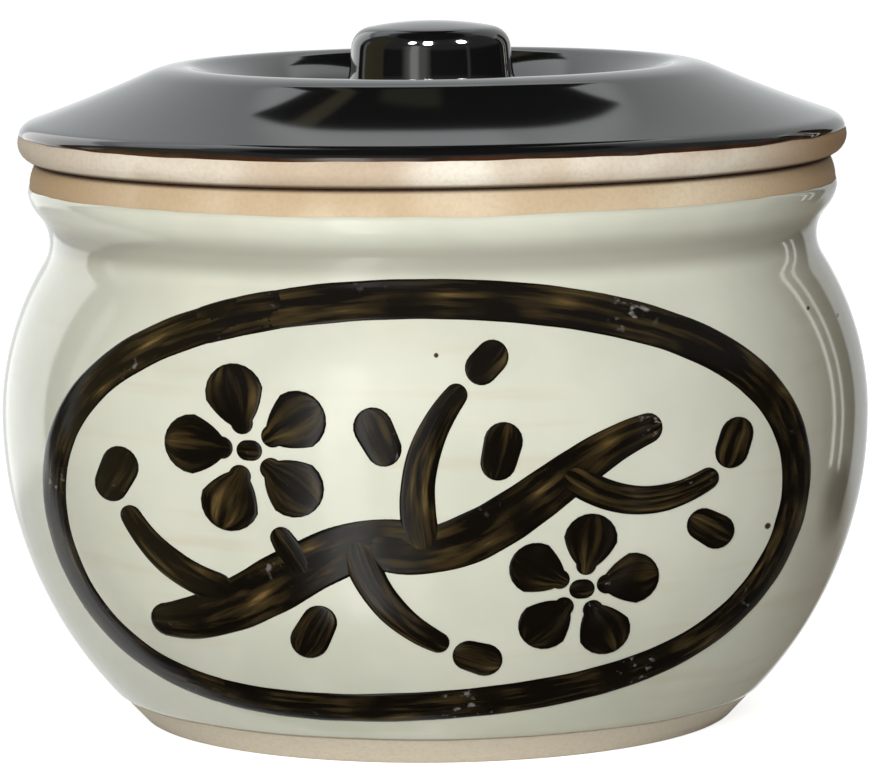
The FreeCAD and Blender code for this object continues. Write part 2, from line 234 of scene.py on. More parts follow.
# The room that gloss shows, as soft-edged panels laid one over the other. Each one's reach round
# from straight behind the jar and up from level, and its edge's softness, are in degrees.
ROOM = (
    ((-200, 200), (14, 90), 10, (0.20, 0.20, 0.20)),
    ((-55, 57), (-90, 90), 2, (0.80, 0.83, 0.84)),
    ((-22, 57), (-90, 6), 8, (0.95, 0.98, 0.98)),
    ((12, 57), (-90, 90), 8, (0.68, 0.70, 0.70)),
    ((-55, 6), (40, 60), 4, (1.22, 1.26, 1.27)),
    ((6, 19), (38, 60), 4, (1.08, 1.12, 1.12)),
    ((-55, -19), (-11.5, 34), 3, (1.75, 1.78, 1.76)),
    ((-75, 75), (54.5, 90), 3, (0.34, 0.35, 0.36)),
    ((-200, 200), (62, 90), 5, (0.02, 0.02, 0.02)),
    ((-58, 12), (-90, -13), 8, (0.86, 0.87, 0.84)),
    ((12, 59), (-90, -13), 6, (0.22, 0.19, 0.15)),
    ((33, 59), (-16, 26), 2, (0.05, 0.04, 0.03)),
    ((49, 51), (-12, 30), 1, (1.90, 1.90, 1.82)),
    ((43, 45), (-12, 30), 1, (1.40, 1.40, 1.35)),
    ((-72, -66), (-5, 26), 3, (0.80, 0.80, 0.76)),
    ((-108, -72), (-40, 50), 4, (0.30, 0.25, 0.13)),
    ((-176, -142), (-50, 30), 14, (1.00, 1.00, 0.97)),
    ((-162, -150), (-50, 30), 6, (2.70, 2.70, 2.65)),
    ((122, 127), (-50, 30), 2, (0.35, 0.34, 0.32)),
)
FRONT_OF_ROOM = (0.03, 0.03, 0.03)
# A dark bay under the ceiling, whose foot sags to its sides, and what glimmers inside it
BAY_SIDES = (-13.2, 14.2)
BAY_FOOT = 45.5
BAY_SAG = 7.2
BAY_DARK = (0.012, 0.011, 0.010)
BAY_GLEAMS = (
    ((-10.6, -8.9), (40, 90), 0.8, (0.17, 0.155, 0.09)),
    ((-11, -3), (53.6, 54.6), 0.5, (0.26, 0.23, 0.13)),
    ((-6, 1), (49, 51.5), 1.5, (0.10, 0.10, 0.07)),
)
BAY_EDGE = 0.3
# What lights the clay and paint: an even glow, a stronger one from behind, and a soft lamp
AMBIENT = (0.08, 0.08, 0.08)
BACK_GLOW = (3.50, 3.50, 3.50)
BACK_GLOW_WAY = (0.0, 0.94, 0.34)
BACK_GLOW_REACH = (0.84, 0.95)
KEY_PLACE = (-0.15, -0.95, 0.46)
KEY_AIM = (0, 0, 0.06)
KEY_SIZE = 0.5
KEY_POWER = 8.6

# Small lamps close above the lid that only the knob shows: place, width, height and power
KNOB_SHOULDER = (0, -0.015, 0.141)
KNOB_GLINTS = (
    ((-0.0044, -0.0577, 0.183), 0.013, 0.020, 0.008),
    ((0.0406, -0.0387, 0.183), 0.013, 0.016, 0.008),
    ((-0.026, -0.050, 0.183), 0.009, 0.010, 0.002),
)
GLINT_SPREAD = 22

# The camera's place in metres, its tilt and roll in degrees, and its lens
CAMERA_PLACE = (0, -1.1, 0.2059)
CAMERA_DOWN = 7.168
CAMERA_ROLL = -0.69
CAMERA_LENS = 220.1
CAMERA_SENSOR = 36.0

# The floor, how pale it is, and how much of its own light the camera sees
FLOOR_RADIUS = 6.0
FLOOR_PAINT = (0.8, 0.8, 0.79, 1)
FLOOR_GLOW = 0.8


def on_circle(centre, radius, angle):
    turn = math.radians(angle)
    return (centre[0] + radius * math.cos(turn), centre[1] + radius * math.sin(turn))


def angle_between(centre, place):
    return math.degrees(math.atan2(place[1] - centre[1], place[0] - centre[0]))


def centre_above(centre, reach, radius):
    """The point over the given radius that lies at a reach from a centre."""
    return (radius, centre[1] + math.sqrt(reach**2 - (radius - centre[0]) ** 2))


def centre_beside(centre, reach, height):
    """The point at the given height that lies outward of a centre, at a reach from it."""
    return (centre[0] + math.sqrt(reach**2 - (height - centre[1]) ** 2), height)


def centre_between(first, first_reach, second, second_reach):
    """The point at a reach from each of two centres, on the right going from first to second."""
    apart = math.dist(first, second)
    along = (apart**2 + first_reach**2 - second_reach**2) / (2 * apart)
    opening = math.degrees(math.acos(along / first_reach))
    return on_circle(first, first_reach, angle_between(first, second) - opening)


def corner_arc(before, corner, after):
    """The start, centre and turn of the arc that rounds a (radius, height, curve) corner."""
    coming = angle_between(before, corner)
    turn = math.remainder(angle_between(corner, after) - coming, 360)
    reach = corner[2] * math.tan(math.radians(abs(turn) / 2))
    start = on_circle(corner, reach, coming + 180)
    return start, on_circle(start, corner[2], coming + math.copysign(90, turn)), turn


UPPER_CENTRE = (BELLY_RADIUS - UPPER_BELLY_CURVE, BELLY_HEIGHT)
LOWER_CENTRE = (BELLY_RADIUS - LOWER_BELLY_CURVE, BELLY_HEIGHT)
NECK_CENTRE = centre_above(
    UPPER_CENTRE, UPPER_BELLY_CURVE + NECK_CURVE, NECK_RADIUS + NECK_CURVE
)
RIM_CENTRE = centre_above(NECK_CENTRE, NECK_CURVE + RIM_CURVE, RIM_RADIUS - RIM_CURVE)
BELLY_TO_NECK = angle_between(UPPER_CENTRE, NECK_CENTRE)
NECK_TO_RIM = angle_between(NECK_CENTRE, RIM_CENTRE)
FOOT_TO_BELLY = math.degrees(math.asin((BELLY_HEIGHT - FOOT_GLAZE_LINE) / LOWER_BELLY_CURVE))
THROAT_RADIUS = NECK_RADIUS - GLAZE - WALL
FOOT_EDGE = on_circle(LOWER_CENTRE, LOWER_BELLY_CURVE - GLAZE, -FOOT_TO_BELLY)
RIM_EDGE = (RIM_RADIUS - GLAZE, RIM_CENTRE[1])
RING_INSIDE = RING_RADIUS - RING_WIDTH

LID_EDGE_CENTRE = (LID_RADIUS - LID_EDGE_CURVE, LID_EDGE_CURVE)
RIDGE_CENTRE = (RIDGE_RADIUS, RIDGE_TOP - RIDGE_OUTER_CURVE)
LID_SLOPE_CENTRE = centre_between(
    LID_EDGE_CENTRE,
    LID_SLOPE_CURVE + LID_EDGE_CURVE,
    RIDGE_CENTRE,
    LID_SLOPE_CURVE + RIDGE_OUTER_CURVE,
)
LID_GLAZE_EDGE = on_circle(LID_EDGE_CENTRE, LID_EDGE_CURVE, LID_GLAZE_LINE_ANGLE)


class Pen:
    """Draws an outline in the X-Z plane, in millimetres, and spins it round the axis."""

    def __init__(self, name, start, lift=0.0):
        self.lift = lift
        self.at = start
        bpy.ops.object.select_all(action="DESELECT")
        place = (start[0] * MM, 0, (start[1] + lift) * MM)
        bpy.ops.mesh.primitive_plane_add(size=MM, location=place)
        self.piece = bpy.context.active_object
        self.piece.name = name
        self.piece.data.name = name
        bpy.ops.object.mode_set(mode="EDIT")
        bpy.ops.mesh.merge(type="CENTER")

    def line(self, place):
        """Go straight on to a place, in even steps."""
        across = place[0] - self.at[0]
        up = place[1] - self.at[1]
        steps = math.ceil(math.hypot(across, up) / OUTLINE_STEP)
        for _ in range(steps):
            move = {"value": (across / steps * MM, 0, up / steps * MM)}
            bpy.ops.mesh.extrude_region_move(TRANSFORM_OT_translate=move)
        self.at = place

    def bend(self, centre, degrees):
        """Go round a centre, anticlockwise where the degrees are positive."""
        radius = math.dist(centre, self.at)
        turn = math.radians(degrees)
        by_length = radius * abs(turn) / OUTLINE_STEP
        bpy.ops.mesh.spin(
            steps=math.ceil(max(by_length, abs(degrees) / OUTLINE_TURN)),
            angle=abs(turn),
            center=(centre[0] * MM, 0, (centre[1] + self.lift) * MM),
            axis=(0, math.copysign(1, turn), 0),
        )
        self.at = on_circle(centre, radius, angle_between(centre, self.at) + degrees)

    def rounded(self, corners):
        """Go past (radius, height, curve) corners to a last plain place."""
        for corner, after in zip(corners, corners[1:]):
            start, centre, turn = corner_arc(self.at, corner, after)
            self.line(start)
            self.bend(centre, turn)
        self.line(corners[-1])

    def spun(self, hollow=False):
        """What the outline sweeps about the axis, facing outwards, or inwards round a hollow."""
        bpy.ops.object.mode_set(mode="OBJECT")
        bpy.ops.object.transform_apply(location=True, rotation=True, scale=True)
        apply(self.piece, "SCREW", steps=SPIN_STEPS, render_steps=SPIN_STEPS)
        bpy.ops.object.mode_set(mode="EDIT")
        bpy.ops.mesh.select_all(action="SELECT")
        bpy.ops.mesh.remove_doubles(threshold=TOUCHING)
        bpy.ops.mesh.normals_make_consistent(inside=hollow)
        bpy.ops.object.mode_set(mode="OBJECT")
        bpy.ops.object.shade_smooth()
        return self.piece


def choose(piece):
    """Make a piece the only one that is selected and active."""
    bpy.ops.object.select_all(action="DESELECT")
    piece.select_set(True)
    bpy.context.view_layer.objects.active = piece


def apply(piece, kind, **settings):
    """Give a piece a modifier and apply it."""
    choose(piece)
    modifier = piece.modifiers.new(kind.title(), kind)
    for name, value in settings.items():
        setattr(modifier, name, value)
    bpy.ops.object.modifier_apply(modifier=modifier.name)


def note(piece, name, values):
    """Keep one number for each vertex, for the materials to read."""
    attribute = piece.data.attributes.new(name, "FLOAT", "POINT")
    attribute.data.foreach_set("value", values)


def weigh(piece, name, weights):
    """Keep one weight for each vertex, for the modifiers to read."""
    group = piece.vertex_groups.new(name=name)
    for number, weight in enumerate(weights):
        group.add([number], weight, "REPLACE")


def wavered(piece, kind, depth, size, flatness=1.0, **settings):
    """Push a piece's skin about by soft noise of a given size, flattened to rings by flatness."""
    bpy.ops.object.empty_add(location=(0, 0, 0))
    spread = bpy.context.active_object
    spread.scale = (size * MM, size * MM, size / flatness * MM)
    bpy.context.view_layer.update()
    texture = bpy.data.textures.new(kind, "CLOUDS")
    texture.noise_scale = 1
    texture.noise_depth = 1
    apply(
        piece,
        "DISPLACE",
        strength=depth * MM,
        texture=texture,
        texture_coords="OBJECT",
        texture_coords_object=spread,
        **settings,
    )
    bpy.data.objects.remove(spread)
    bpy.data.textures.remove(texture)


def coated(skin, clay, edges, thinning, ripple, size, flatness):
    """Turn a bare skin on the clay into a coat of glaze that thins to its wavering edges."""
    away = []
    for vertex in skin.data.vertices:
        place = (math.hypot(vertex.co.x, vertex.co.y) / MM, vertex.co.z / MM)
        away.append(min(math.dist(place, edge) for edge in edges))
    note(skin, "from_edge", away)
    weigh(skin, "near_edge", [max(0, 1 - reach / EDGE_WAVER_LENGTH) for reach in away])
    width, roundness = thinning
    thinness = [max(0, 1 - reach / width) for reach in away]
    weigh(skin, "thickness", [(1 - share**roundness) ** (1 / roundness) for share in thinness])
    weigh(skin, "rippled", [1 - share for share in thinness])
    wavered(skin, "edge", EDGE_WAVER, EDGE_WAVER_LENGTH, direction="Z", vertex_group="near_edge")
    apply(skin, "SHRINKWRAP", target=clay, wrap_method="NEAREST_SURFACEPOINT")
    wavered(skin, "ripple", ripple, size, flatness, mid_level=1, vertex_group="rippled")
    apply(
        skin,
        "SOLIDIFY",
        thickness=GLAZE * MM,
        offset=1,
        vertex_group="thickness",
        thickness_vertex_group=GLAZE_EDGE_SHARE,
    )
    return skin


def on_lid(place):
    """A place on the lid's outline, with its height above the foot."""
    return (place[0], place[1] + SEAT_HEIGHT)


def draw_glazed_outside(pen):
    """The jar's clay from the foot's glaze line up to the rim's."""
    pen.bend(LOWER_CENTRE, FOOT_TO_BELLY)
    pen.bend(UPPER_CENTRE, BELLY_TO_NECK)
    pen.bend(NECK_CENTRE, NECK_TO_RIM - 180 - BELLY_TO_NECK)
    pen.bend(RIM_CENTRE, 180 - NECK_TO_RIM)


def draw_inside(pen):
    """The jar's inner wall and floor, down from the throat."""
    depth = GLAZE + WALL
    floor_centre = centre_beside(
        LOWER_CENTRE, LOWER_BELLY_CURVE - depth - FLOOR_CURVE, FLOOR_TOP + FLOOR_CURVE
    )
    meeting = angle_between(LOWER_CENTRE, floor_centre)
    pen.line((THROAT_RADIUS, NECK_CENTRE[1]))
    pen.bend(NECK_CENTRE, BELLY_TO_NECK)
    pen.bend(UPPER_CENTRE, -BELLY_TO_NECK)
    pen.bend(LOWER_CENTRE, meeting)
    pen.bend(floor_centre, -90 - meeting)
    pen.line((0, FLOOR_TOP))


def jar_clay():
    toe = FOOT_EDGE[0] - FOOT_EDGE[1] * math.tan(math.radians(FOOT_TO_BELLY))
    inner = toe - FOOT_RING_WIDTH
    pen = Pen("jar_clay", (0, FOOT_RECESS))
    pen.rounded(
        [
            (inner - FOOT_RECESS, FOOT_RECESS, FOOT_RECESS_CURVE),
            (inner, 0, FOOT_EDGE_CURVE),
            (toe, 0, FOOT_EDGE_CURVE),
            FOOT_EDGE,
        ]
    )
    draw_glazed_outside(pen)
    side_centre = (RIM_EDGE[0] - RIM_SIDE_CURVE, RIM_EDGE[1])
    edge_centre = centre_beside(
        side_centre, RIM_SIDE_CURVE - RIM_EDGE_CURVE, SEAT_HEIGHT - RIM_EDGE_CURVE
    )
    meeting = angle_between(side_centre, edge_centre)
    pen.bend(side_centre, meeting)
    pen.bend(edge_centre, 90 - meeting)
    pen.line((THROAT_RADIUS + MOUTH_LIP_CURVE, SEAT_HEIGHT))
    pen.bend((THROAT_RADIUS + MOUTH_LIP_CURVE, SEAT_HEIGHT - MOUTH_LIP_CURVE), 90)
    draw_inside(pen)
    return pen.spun()


def outer_glaze(clay):
    pen = Pen("outer_glaze_coat", FOOT_EDGE)
    draw_glazed_outside(pen)
    return coated(pen.spun(), clay, (FOOT_EDGE, RIM_EDGE), CREAM_EDGE, *THROWING_RINGS)


def lining_glaze(clay):
    edge = (THROAT_RADIUS, LINING_TOP)
    pen = Pen("lining_glaze_coat", edge)
    draw_inside(pen)
    return coated(pen.spun(hollow=True), clay, (edge,), CREAM_EDGE, *THROWING_RINGS)


def draw_lid_top(pen):
    """The lid's clay from the glaze line over the ridge and dish and up to the knob's crown."""
    onto_slope = angle_between(LID_EDGE_CENTRE, LID_SLOPE_CENTRE)
    onto_ridge = angle_between(RIDGE_CENTRE, LID_SLOPE_CENTRE)
    pen.bend(LID_EDGE_CENTRE, onto_slope - LID_GLAZE_LINE_ANGLE)
    pen.bend(LID_SLOPE_CENTRE, onto_ridge - onto_slope)
    pen.bend(RIDGE_CENTRE, 90 - onto_ridge)
    crown = (KNOB_RADIUS**2 + KNOB_CROWN**2) / (2 * KNOB_CROWN)
    crown_centre = (0, KNOB_TOP - crown)
    shoulder_centre = centre_above(
        crown_centre, crown - KNOB_SHOULDER_CURVE, KNOB_RADIUS - KNOB_SHOULDER_CURVE
    )
    meeting = angle_between(crown_centre, shoulder_centre)
    pen.rounded(
        [
            RIDGE_INNER_CORNER + (RIDGE_INNER_CURVE,),
            DISH_SIDE + (DISH_SIDE_CURVE,),
            DISH_CORNER + (DISH_CURVE,),
            (KNOB_RADIUS + KNOB_TAPER, DISH_CORNER[1], KNOB_ROOT_CURVE),
            (KNOB_RADIUS, shoulder_centre[1]),
        ]
    )
    pen.bend(shoulder_centre, meeting)
    pen.bend(crown_centre, 90 - meeting)


def lid_clay():
    """The clay of the lid and its knob, which are one after the firing."""
    pen = Pen("lid_clay", (0, HOLLOW_CORNER[1]), SEAT_HEIGHT)
    pen.rounded(
        [
            HOLLOW_CORNER + (HOLLOW_CURVE,),
            (RING_INSIDE, HOLLOW_RIM_HEIGHT, HOLLOW_RIM_CURVE),
            (RING_INSIDE, -RING_DEPTH, RING_EDGE_CURVE),
            (RING_RADIUS, -RING_DEPTH, RING_EDGE_CURVE),
            (RING_RADIUS, 0, RING_ROOT_CURVE),
            (LID_EDGE_CENTRE[0], 0),
        ]
    )
    pen.bend(LID_EDGE_CENTRE, 90 + LID_GLAZE_LINE_ANGLE)
    draw_lid_top(pen)
    return pen.spun()


def lid_top_glaze(clay):
    pen = Pen("lid_top_glaze_coat", LID_GLAZE_EDGE, SEAT_HEIGHT)
    draw_lid_top(pen)
    return coated(pen.spun(), clay, (on_lid(LID_GLAZE_EDGE),), BLACK_EDGE, *POURED_GLAZE)


def lid_underside_glaze(clay):
    edge = (RING_INSIDE, HOLLOW_GLAZE_LINE)
    pen = Pen("lid_underside_glaze_coat", (0, HOLLOW_CORNER[1]), SEAT_HEIGHT)
    pen.rounded(
        [
            HOLLOW_CORNER + (HOLLOW_CURVE,),
            (RING_INSIDE, HOLLOW_RIM_HEIGHT, HOLLOW_RIM_CURVE),
            edge,
        ]
    )
    return coated(pen.spun(hollow=True), clay, (on_lid(edge),), CREAM_EDGE, *POURED_GLAZE)


def stroke_way(places):
    """The brush's way through (x, height, width) places, as a function of the share gone."""
    knots = [0.0]
    for here, there in zip(places, places[1:]):
        knots.append(knots[-1] + math.dist(here, there))

    def way(share):
        gone = share * knots[-1]
        found = [Vector(place) for place in places]
        for level in range(1, len(places)):
            for low in range(len(places) - level):
                span = knots[low + level] - knots[low]
                nearer = (gone - knots[low]) / span
                found[low] = found[low].lerp(found[low + 1], nearer)
        return found[0]

    return way


def oval_way(first, last):
    """The brush's way round a stretch of the oval, between two turns in degrees."""

    def way(share):
        turn = math.radians(first + share * (last - first))
        x = (
            OVAL_CENTRE[0]
            + OVAL_HALF_WIDTH * math.cos(turn)
            + OVAL_SQUARENESS[0] * math.cos(3 * turn)
            + OVAL_BOW[0] * math.sin(2 * turn)
        )
        height = (
            OVAL_CENTRE[1]
            + OVAL_HALF_HEIGHT * math.sin(turn)
            + OVAL_SQUARENESS[1] * math.sin(3 * turn)
            + OVAL_BOW[1] * math.cos(2 * turn)
            + OVAL_LEAN[0] * math.cos(turn)
            + OVAL_LEAN[1] * math.sin(2 * turn)
        )
        swell = math.sin(turn + math.radians(OVAL_SWELL_TURN)) - math.cos(2 * turn)
        return Vector((x, height, OVAL_STROKE + OVAL_SWELL * swell))

    return way


def stations(way, number):
    """A strip's columns: place, heading, half width, share of the full width, and way gone."""
    marks = [way(step / WAY_SAMPLES) for step in range(WAY_SAMPLES + 1)]
    length = sum(math.dist(here.xy, there.xy) for here, there in zip(marks, marks[1:]))
    steps = math.ceil(length / STROKE_STEP)
    ends = [math.radians(turn) for turn in STROKE_END_TURNS]
    plan = [(0, -math.cos(turn), math.sin(turn)) for turn in ends]
    plan += [(step / steps, 0, 1) for step in range(steps + 1)]
    plan += [(1, math.cos(turn), math.sin(turn)) for turn in reversed(ends)]
    found = []
    for share, beyond, breadth in plan:
        middle = way(share)
        forward = (way(share + SMALL_SHARE) - way(share - SMALL_SHARE)).xy.normalized()
        waver = noise.noise(Vector((share * length / WAVER_LENGTH, number, 0)))
        half = middle.z / 2 * (1 + STROKE_WAVER * waver)
        place = middle.xy + beyond * half * forward
        gone = share * length + beyond * half
        heading = math.atan2(forward.y, forward.x)
        found.append((place, heading, half * breadth, breadth, gone))
    return found


def pick(before, now):
    """Move the selection from some vertices to others."""
    for vertex in before:
        vertex.select_set(False)
    for vertex in now:
        vertex.select_set(True)


def brushed(way, number, glaze):
    """One stroke: a strip along the brush's way, pressed onto the glaze and given its body."""
    columns = stations(way, number)
    across = [math.sin(math.pi * (row / STROKE_ROWS - 0.5)) for row in range(STROKE_ROWS + 1)]
    bpy.ops.object.select_all(action="DESELECT")
    bpy.ops.mesh.primitive_grid_add(
        x_subdivisions=len(columns) - 1,
        y_subdivisions=STROKE_ROWS,
        size=2 * MM,
        rotation=(math.pi / 2, 0, 0),
    )
    strip = bpy.context.active_object
    bpy.ops.object.transform_apply(location=True, rotation=True, scale=True)
    bpy.ops.object.mode_set(mode="EDIT")
    bpy.ops.mesh.select_all(action="DESELECT")
    mesh = bmesh.from_edit_mesh(strip.data)
    mesh.verts.ensure_lookup_table()
    corners = mesh.verts[:]
    count = len(columns)
    grid = [corners[row * count : (row + 1) * count] for row in range(STROKE_ROWS + 1)]
    picked = []
    for row, share in zip(grid, across):
        pick(picked, row)
        picked = row
        bpy.ops.transform.translate(value=(0, 0, share * MM - row[0].co.z))
    for index, (place, heading, half, _, _) in enumerate(columns):
        column = [row[index] for row in grid]
        middle = (column[0].co.x, 0, 0)
        pick(picked, column)
        picked = column
        bpy.ops.transform.resize(value=(1, 1, half), center_override=middle)
        bpy.ops.transform.rotate(value=heading, orient_axis="Y", center_override=middle)
        move = (place.x * MM - middle[0], BEFORE_JAR * MM, place.y * MM)
        bpy.ops.transform.translate(value=move)
    bpy.ops.object.mode_set(mode="OBJECT")
    body = []
    for share in across:
        for _, _, _, breadth, gone in columns:
            dome = breadth * math.sqrt(max(0, 1 - share**2))
            flow = noise.noise(Vector((gone / FLOW_LENGTH, share, number + 0.5)))
            body.append(dome**DOME_POWER * (1 - FLOW * (0.5 + 0.5 * flow)))
    weigh(strip, "depth", body)
    note(strip, "body", body)
    note(strip, "across", [share for share in across for _ in columns])
    note(strip, "along", [column[4] for _ in across for column in columns])
    note(strip, "stroke", [number] * len(body))
    apply(
        strip,
        "SHRINKWRAP",
        target=glaze,
        wrap_method="PROJECT",
        use_project_y=True,
        use_positive_direction=True,
        offset=number * STROKE_LIFT * MM,
    )
    apply(
        strip,
        "SOLIDIFY",
        thickness=BRUSHWORK * MM,
        offset=1,
        vertex_group="depth",
        thickness_vertex_group=THIN_SHARE,
    )
    bpy.ops.object.shade_smooth()
    return strip


def brushwork(name, ways, glaze):
    """Strokes of the brush, one over the other, joined into a piece."""
    strips = [brushed(way, number, glaze) for number, way in enumerate(ways)]
    for strip in strips:
        strip.select_set(True)
    bpy.context.view_layer.objects.active = strips[0]
    if len(strips) > 1:
        bpy.ops.object.join()
    strips[0].name = name
    strips[0].data.name = name
    return strips[0]


def petal_way(blossom, number):
    """The brush's way along one petal, from the blossom's heart out."""
    x, height, reach, lean = blossom
    heading = 90 + lean + number * 360 / PETALS
    places = []
    for distance, width in PETAL_MARKS:
        place = on_circle((x, height), reach * distance, heading)
        places.append((*place, reach * width))
    return stroke_way(places)


def heart_way(blossom):
    x, height = blossom[:2]
    half = HEART_LENGTH / 2
    return stroke_way(((x - half, height, HEART_WIDTH), (x + half, height, HEART_WIDTH)))


def oval_brushwork(glaze):
    return brushwork("oval_brushwork", [oval_way(*sweep) for sweep in OVAL_SWEEPS], glaze)


def branch_brushwork(glaze):
    return brushwork("branch_brushwork", [stroke_way(stroke) for stroke in BRANCH_STROKES], glaze)


def blossom_brushwork(glaze):
    ways = [heart_way(blossom) for blossom in BLOSSOMS]
    for blossom in BLOSSOMS:
        ways += [petal_way(blossom, number) for number in range(PETALS)]
    return brushwork("blossom_brushwork", ways, glaze)


def bud_brushwork(glaze):
    return brushwork("bud_brushwork", [stroke_way(stroke) for stroke in BUD_STROKES], glaze)


def put(tree, kind, inputs=None, **settings):
    """Add a node to a tree, with its settings, and set or link its inputs."""
    node = tree.nodes.new(kind)
    for name, value in settings.items():
        setattr(node, name, value)
    for socket, value in (inputs or {}).items():
        if isinstance(value, bpy.types.NodeSocket):
            tree.links.new(value, node.inputs[socket])
        else:
            node.inputs[socket].default_value = value
    return node


def calc(tree, operation, first, second=0.0, third=0.0):
    inputs = {0: first, 1: second, 2: third}
    return put(tree, "ShaderNodeMath", inputs, operation=operation).outputs[0]


def fade(tree, value, start, end, low=0.0, high=1.0):
    """A number that goes smoothly from low to high as a value goes from start to end."""
    inputs = {"Value": value, 1: start, 2: end, 3: low, 4: high}
    kind = "ShaderNodeMapRange"
    return put(tree, kind, inputs, interpolation_type="SMOOTHSTEP").outputs["Result"]


def mixed(tree, share, first, second):
    """A colour that goes from the first to the second as the share grows."""
    inputs = {0: share, 6: as_colour(first), 7: as_colour(second)}
    return put(tree, "ShaderNodeMix", inputs, data_type="RGBA").outputs[2]


def as_colour(colour):
    return colour if isinstance(colour, bpy.types.NodeSocket) else (*colour, 1)


def patches(tree, where, size, detail=2.0, stretch=(1, 1, 1), shift=(0, 0, 0)):
    """Soft noise whose patches are about a size across in millimetres, times the stretch."""
    scale = [1 / share for share in stretch]
    inputs = {"Vector": where, "Scale": scale, "Location": shift}
    placed = put(tree, "ShaderNodeMapping", inputs).outputs["Vector"]
    inputs = {"Vector": placed, "Scale": 1 / (size * MM), "Detail": detail}
    return put(tree, "ShaderNodeTexNoise", inputs).outputs["Fac"]


def noted(tree, name):
    return put(tree, "ShaderNodeAttribute", attribute_name=name).outputs["Fac"]


def finish(name, **constants):
    """A new material: it, its node tree, its shader and the place that patterns read."""
    material = bpy.data.materials.new(name)
    material.use_nodes = True
    tree = material.node_tree
    shader = tree.nodes["Principled BSDF"]
    for socket, value in constants.items():
        shader.inputs[socket.replace("_", " ")].default_value = value
    where = put(tree, "ShaderNodeTexCoord").outputs["Object"]
    return material, tree, shader, where


def colour(tree, shader, value):
    tree.links.new(value, shader.inputs["Base Color"])


def relief(tree, shader, height, depth):
    """Bumps of a depth in millimetres where a height goes from 0 to 1."""
    inputs = {"Height": height, "Distance": depth * MM, "Strength": 1.0}
    bump = put(tree, "ShaderNodeBump", inputs)
    tree.links.new(bump.outputs["Normal"], shader.inputs["Normal"])


def beside(tree, where, x, z):
    """How far a place lies from (x, z) in front view."""
    flat = put(tree, "ShaderNodeVectorMath", {0: where, 1: (1, 0, 1)}, operation="MULTIPLY")
    inputs = {0: flat.outputs[0], 1: (x * MM, 0, z * MM)}
    return put(tree, "ShaderNodeVectorMath", inputs, operation="DISTANCE").outputs["Value"]


def cream_glaze():
    material, tree, shader, where = finish("cream_glaze", Roughness=0.065, IOR=1.5)
    clouds = fade(tree, patches(tree, where, 22, 3.0), 0.3, 0.7)
    glaze = mixed(tree, clouds, *CREAM_TONES)
    rings = fade(tree, patches(tree, where, 5, 3.0, (14, 14, 1)), 0.5, 0.72, 0.0, 0.4)
    where_warm = fade(tree, patches(tree, where, 45, 1.0), 0.45, 0.62)
    glaze = mixed(tree, calc(tree, "MULTIPLY", rings, where_warm), glaze, WARM_RINGS)
    spread = put(tree, "ShaderNodeSeparateXYZ", {0: where}).outputs
    height = spread["Z"]
    # Painted shade: the glaze darkens in a band round the neck's groove
    off_neck = calc(tree, "ABSOLUTE", calc(tree, "SUBTRACT", height, GROOVE_HEIGHT * MM))
    pooled = fade(tree, off_neck, GROOVE_REACH[0] * MM, GROOVE_REACH[1] * MM, 1.0, 0.0)
    glaze = mixed(tree, pooled, glaze, GROOVE_GLAZE)
    # Painted shade: the glaze darkens towards the right side
    flashed = fade(tree, spread["X"], FLASHED_SIDE[0] * MM, FLASHED_SIDE[1] * MM, 0.0, 0.75)
    glaze = mixed(tree, flashed, glaze, FLASHED_GLAZE)
    # Painted dark reflection: a soft dark patch on the right side
    middle, reach, dark = SMOKE_MARK
    inputs = {0: where, 1: [part * MM for part in middle]}
    away = put(tree, "ShaderNodeVectorMath", inputs, operation="DISTANCE").outputs["Value"]
    mark = fade(tree, away, reach * 0.3 * MM, reach * MM, dark, 0.0)
    glaze = mixed(tree, mark, glaze, SMOKED_GLAZE)
    edge = fade(tree, noted(tree, "from_edge"), 0.2, 1.0, 1.0, 0.0)
    at_foot = calc(tree, "LESS_THAN", height, THIN_BELOW * MM)
    thin = calc(tree, "MULTIPLY", edge, at_foot)
    glaze = mixed(tree, thin, glaze, THIN_GLAZE)
    for x, z, size in IRON_SPECKS:
        away = beside(tree, where, x, z)
        speck = fade(tree, away, size * 0.35 * MM, size * 0.65 * MM, 1.0, 0.0)
        glaze = mixed(tree, speck, glaze, IRON_SPOT)
    colour(tree, shader, glaze)
    return material


def black_glaze():
    material, tree, shader, where = finish("black_glaze", Roughness=0.05, IOR=1.6)
    waver = patches(tree, where, 6)
    reach = calc(tree, "MULTIPLY_ADD", waver, 1.2, noted(tree, "from_edge"))
    thin = fade(tree, reach, 0.6, 1.6, 1.0, 0.0)
    glaze = mixed(tree, thin, *BLACK_TONES)
    colour(tree, shader, glaze)
    return material


